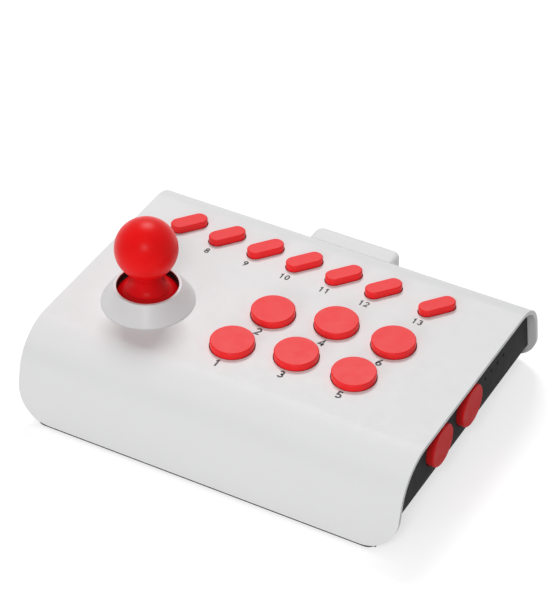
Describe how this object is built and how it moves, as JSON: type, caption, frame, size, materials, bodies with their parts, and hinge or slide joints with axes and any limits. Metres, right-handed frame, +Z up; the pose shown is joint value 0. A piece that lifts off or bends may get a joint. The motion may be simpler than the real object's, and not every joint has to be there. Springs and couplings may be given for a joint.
{
  "type": "arcade fight stick",
  "caption": "Compact desktop arcade controller: folded white cover on a dark tray, ball-top stick in a cone bezel, round and slanted red buttons, holder socket at the back",
  "frame": {"origin": "On the table under the middle of the body", "axes": "+X to the player's right, +Y away from the player, +Z up"},
  "size_m": [0.231, 0.1794, 0.1048],
  "materials": {
    "cover_white": "satin white plastic",
    "tray_dark": "fine-grained dark grey plastic",
    "foot_rubber": "soft black rubber",
    "screw_steel": "zinc-plated steel",
    "bezel_grey": "satin light grey plastic",
    "liner_black": "black plastic",
    "ball_red": "polished red plastic",
    "sleeve_red": "red plastic",
    "shaft_steel": "turned steel",
    "housing_black": "black engineering plastic",
    "actuator_white": "natural acetal",
    "pad_silicone": "silicone rubber",
    "board_green": "coated glass-fibre board",
    "lamp_dark": "clear light pipe, unlit",
    "inlet_steel": "plated steel shell",
    "battery_blue": "wrapped cell",
    "button_red": "satin red plastic"
  },
  "bodies": {
    "chassis": {"top_cover": "cover_white", "holder_socket": "cover_white", "base_tray": "tray_dark", "rubber_feet": "foot_rubber", "cover_screws": "screw_steel", "stick_bezel": "bezel_grey", "bezel_liner": "liner_black", "stick_housing": "housing_black", "housing_screws": "screw_steel", "centring_spring": "shaft_steel", "restrictor_gate": "housing_black", "gate_screws": "screw_steel", "stick_switches": "housing_black", "action_pads": "pad_silicone", "menu_pads": "pad_silicone", "side_pads": "pad_silicone", "main_board": "board_green", "board_parts": "housing_black", "side_board": "board_green", "light_pipes": "lamp_dark", "rear_board": "board_green", "board_screws": "screw_steel", "charge_inlet": "inlet_steel", "mode_switch_body": "inlet_steel", "battery": "battery_blue"},
    "gimbal": {"gimbal_ring": "shaft_steel"},
    "stick": {"ball_top": "ball_red", "neck_sleeve": "sleeve_red", "dust_dome": "sleeve_red", "stick_shaft": "shaft_steel", "shaft_clip": "screw_steel", "stick_actuator": "actuator_white"},
    "action_button_1_body": {"action_button_1": "button_red"},
    "action_button_2_body": {"action_button_2": "button_red"},
    "action_button_3_body": {"action_button_3": "button_red"},
    "action_button_4_body": {"action_button_4": "button_red"},
    "action_button_5_body": {"action_button_5": "button_red"},
    "action_button_6_body": {"action_button_6": "button_red"},
    "menu_button_1_body": {"menu_button_1": "button_red"},
    "menu_button_2_body": {"menu_button_2": "button_red"},
    "menu_button_3_body": {"menu_button_3": "button_red"},
    "menu_button_4_body": {"menu_button_4": "button_red"},
    "menu_button_5_body": {"menu_button_5": "button_red"},
    "menu_button_6_body": {"menu_button_6": "button_red"},
    "menu_button_7_body": {"menu_button_7": "button_red"},
    "side_button_1_body": {"side_button_1": "button_red"},
    "side_button_2_body": {"side_button_2": "button_red"},
    "mode_slider_body": {"mode_slider": "housing_black"}
  },
  "joints": [
    {"name": "stick_tilt_x", "type": "hinge", "parent": "chassis", "child": "gimbal", "pos_m": [-0.0705, -0.022, 0.042], "axis": [1, 0, 0], "range_deg": [-8, 8], "stiffness_Nm_per_rad": 0.7, "deforming": ["centring_spring"]},
    {"name": "stick_tilt_y", "type": "hinge", "parent": "gimbal", "child": "stick", "pos_m": [-0.0705, -0.022, 0.042], "axis": [0, 1, 0], "range_deg": [-8, 8], "stiffness_Nm_per_rad": 0.7, "deforming": ["centring_spring"]},
    {"name": "action_button_1_press", "type": "slide", "parent": "chassis", "child": "action_button_1_body", "axis": [0, 0, -1], "range_m": [0, 0.0015], "stiffness_N_per_m": 400, "springref_m": -0.0008, "deforming": ["action_pads"]},
    {"name": "action_button_2_press", "type": "slide", "parent": "chassis", "child": "action_button_2_body", "axis": [0, 0, -1], "range_m": [0, 0.0015], "stiffness_N_per_m": 400, "springref_m": -0.0008, "deforming": ["action_pads"]},
    {"name": "action_button_3_press", "type": "slide", "parent": "chassis", "child": "action_button_3_body", "axis": [0, 0, -1], "range_m": [0, 0.0015], "stiffness_N_per_m": 400, "springref_m": -0.0008, "deforming": ["action_pads"]},
    {"name": "action_button_4_press", "type": "slide", "parent": "chassis", "child": "action_button_4_body", "axis": [0, 0, -1], "range_m": [0, 0.0015], "stiffness_N_per_m": 400, "springref_m": -0.0008, "deforming": ["action_pads"]},
    {"name": "action_button_5_press", "type": "slide", "parent": "chassis", "child": "action_button_5_body", "axis": [0, 0, -1], "range_m": [0, 0.0015], "stiffness_N_per_m": 400, "springref_m": -0.0008, "deforming": ["action_pads"]},
    {"name": "action_button_6_press", "type": "slide", "parent": "chassis", "child": "action_button_6_body", "axis": [0, 0, -1], "range_m": [0, 0.0015], "stiffness_N_per_m": 400, "springref_m": -0.0008, "deforming": ["action_pads"]},
    {"name": "menu_button_1_press", "type": "slide", "parent": "chassis", "child": "menu_button_1_body", "axis": [0, 0, -1], "range_m": [0, 0.0015], "stiffness_N_per_m": 400, "springref_m": -0.0008, "deforming": ["menu_pads"]},
    {"name": "menu_button_2_press", "type": "slide", "parent": "chassis", "child": "menu_button_2_body", "axis": [0, 0, -1], "range_m": [0, 0.0015], "stiffness_N_per_m": 400, "springref_m": -0.0008, "deforming": ["menu_pads"]},
    {"name": "menu_button_3_press", "type": "slide", "parent": "chassis", "child": "menu_button_3_body", "axis": [0, 0, -1], "range_m": [0, 0.0015], "stiffness_N_per_m": 400, "springref_m": -0.0008, "deforming": ["menu_pads"]},
    {"name": "menu_button_4_press", "type": "slide", "parent": "chassis", "child": "menu_button_4_body", "axis": [0, 0, -1], "range_m": [0, 0.0015], "stiffness_N_per_m": 400, "springref_m": -0.0008, "deforming": ["menu_pads"]},
    {"name": "menu_button_5_press", "type": "slide", "parent": "chassis", "child": "menu_button_5_body", "axis": [0, 0, -1], "range_m": [0, 0.0015], "stiffness_N_per_m": 400, "springref_m": -0.0008, "deforming": ["menu_pads"]},
    {"name": "menu_button_6_press", "type": "slide", "parent": "chassis", "child": "menu_button_6_body", "axis": [0, 0, -1], "range_m": [0, 0.0015], "stiffness_N_per_m": 400, "springref_m": -0.0008, "deforming": ["menu_pads"]},
    {"name": "menu_button_7_press", "type": "slide", "parent": "chassis", "child": "menu_button_7_body", "axis": [0, 0, -1], "range_m": [0, 0.0015], "stiffness_N_per_m": 400, "springref_m": -0.0008, "deforming": ["menu_pads"]},
    {"name": "side_button_1_press", "type": "slide", "parent": "chassis", "child": "side_button_1_body", "axis": [-1, 0, 0], "range_m": [0, 0.0015], "stiffness_N_per_m": 400, "springref_m": -0.0008, "deforming": ["side_pads"]},
    {"name": "side_button_2_press", "type": "slide", "parent": "chassis", "child": "side_button_2_body", "axis": [-1, 0, 0], "range_m": [0, 0.0015], "stiffness_N_per_m": 400, "springref_m": -0.0008, "deforming": ["side_pads"]},
    {"name": "mode_slide", "type": "slide", "parent": "chassis", "child": "mode_slider_body", "axis": [1, 0, 0], "range_m": [0, 0.004]}
  ]
}
